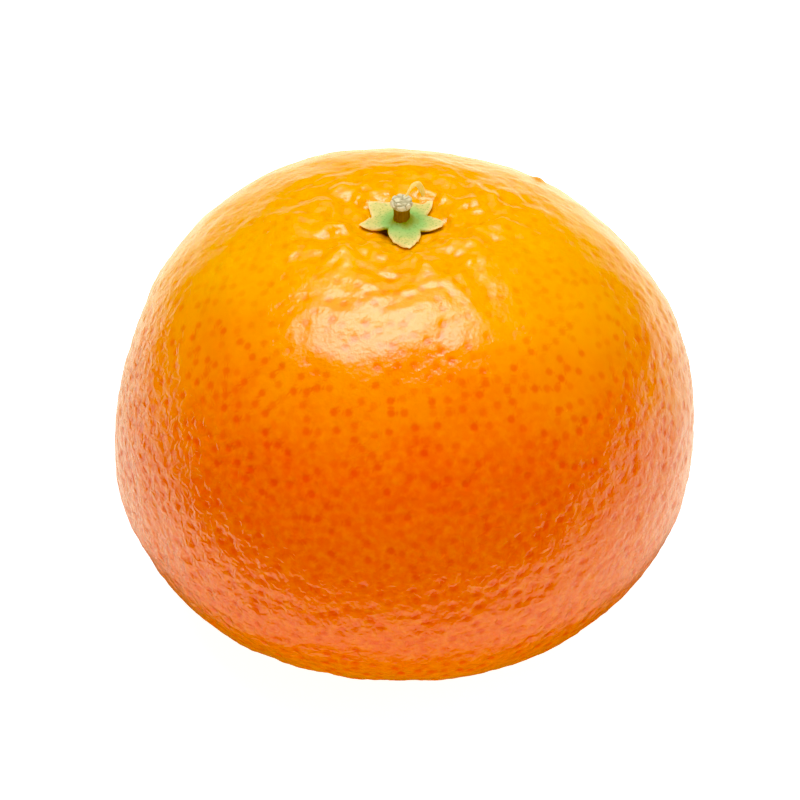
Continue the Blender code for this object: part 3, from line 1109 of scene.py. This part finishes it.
paint = add(
    tree,
    "ShaderNodeMix",
    {0: mirrored, 6: colour("C8C8C8"), 7: (0.0, 0.0, 0.0, 1.0)},
    data_type="RGBA",
)
tree.links.new(paint.outputs[2], shader.inputs["Base Color"])
glow_colour = add(
    tree,
    "ShaderNodeMix",
    {0: rays["Is Camera Ray"], 6: colour("F5F6DC"), 7: (1.0, 1.0, 1.0, 1.0)},
    data_type="RGBA",
)
tree.links.new(glow_colour.outputs[2], shader.inputs["Emission Color"])
shader.inputs["Roughness"].default_value = 0.9
shape = bmesh.new()
bmesh.ops.create_grid(shape, x_segments=1, y_segments=1, size=FLOOR_HALF)
floor_mesh = bpy.data.meshes.new("floor")
shape.to_mesh(floor_mesh)
shape.free()
floor_mesh.materials.append(sheet)
floor = bpy.data.objects.new("floor", floor_mesh)
bpy.context.scene.collection.objects.link(floor)

# The light: a wide oval softbox overhead, which gives the broad highlight in front of the stem, a
# small strip behind it and a long low one on the horizon, which edge the crown and the back rim.
# The other four only fill, and don't show in the peel's gloss. The camera sees none of them.


def softbox(name, place, aim, across, width, depth, power):
    """An area light of a power in watts that faces a point, its width along a direction."""
    light = bpy.data.lights.new(name, "AREA")
    light.shape = "RECTANGLE"
    light.size = width
    light.size_y = depth
    light.energy = power
    away = (Vector(place) - Vector(aim)).normalized()
    upright = away.cross(Vector(across)).normalized()
    level = upright.cross(away)
    turned = Matrix((level, upright, away)).transposed().to_4x4()
    made = bpy.data.objects.new(name, light)
    made.matrix_world = Matrix.Translation(place) @ turned
    made.visible_camera = False
    bpy.context.scene.collection.objects.link(made)
    return made


key_foot = (-0.075, 0.045, 0.0)
key = softbox("key", (-0.075, 0.045, 0.70), key_foot, (1, 0, 0), 0.66, 0.28, 3.65)
key.data.shape = "ELLIPSE"
softbox("key_back", (-0.02, 0.375, 0.65), centre, (1, 0, 0), 0.6, 0.22, 0.35)
softbox("horizon", (0.0, 2.0, 0.13), (0.0, 0.0, 0.13), (1, 0, 0), 3.0, 0.25, 2.0)
for name, place, across, width, depth, power in (
    ("back", (0.10, 1.2, 0.6), (1, 0, 0), 1.6, 0.7, 0.8),
    ("above", (0.10, 0.10, 0.75), (1, 0, 0), 0.9, 0.7, 1.55),
    ("right", (1.1, 0.0, 0.45), (0, 1, 0), 1.0, 0.6, 1.9),
    ("front", (-0.1, -0.90, 0.12), (1, 0, 0), 1.4, 0.2, 4.6),
):
    softbox(name, place, centre, across, width, depth, power).visible_glossy = False

# The room is white to the camera and dim to the fruit, whose gloss would turn milky in it.
ROOM_LIGHT = 0.18
ROOM_SEEN = 0.90
world = bpy.context.scene.world or bpy.data.worlds.new("room")
bpy.context.scene.world = world
world.use_nodes = True
room = world.node_tree.nodes["Background"]
room.inputs["Color"].default_value = (1.0, 1.0, 1.0, 1.0)
seen = add(world.node_tree, "ShaderNodeLightPath").outputs["Is Camera Ray"]
brightness = add(
    world.node_tree,
    "ShaderNodeMix",
    {0: seen, 2: ROOM_LIGHT, 3: ROOM_SEEN},
    data_type="FLOAT",
)
world.node_tree.links.new(brightness.outputs[0], room.inputs["Strength"])

# The camera: a long lens from the front, looking down on the fruit as the photograph does.

VIEW_ELEVATION = 37.0
VIEW_DISTANCE = 0.450
LENS = 184.0
WAIST = 0.0213  # height of the point of the fruit that the view is set from
FRUIT_SHIFT = (0.000396, -0.00186)  # of that point from the middle of the view: right, up

elevation = math.radians(VIEW_ELEVATION)
back = Vector((0.0, -math.cos(elevation), math.sin(elevation)))
right = Vector((1.0, 0.0, 0.0))
up = back.cross(right)
lens = bpy.data.cameras.new("camera")
lens.lens = LENS
lens.sensor_width = 36.0
lens.clip_start = 0.01
camera = bpy.data.objects.new("camera", lens)
camera.location = (
    Vector((0.0, 0.0, WAIST)) + VIEW_DISTANCE * back - FRUIT_SHIFT[0] * right - FRUIT_SHIFT[1] * up
)
camera.rotation_euler = (-back).to_track_quat("-Z", "Y").to_euler()
bpy.context.scene.collection.objects.link(camera)
bpy.context.scene.camera = camera

# The photograph's deep oranges hold hardly any blue, so the picture's blacks are set higher in it.
view = bpy.context.scene.view_settings
view.view_transform = "Standard"
view.use_curve_mapping = True
view.curve_mapping.black_level = (0.0, 0.0, 0.035)
view.curve_mapping.update()
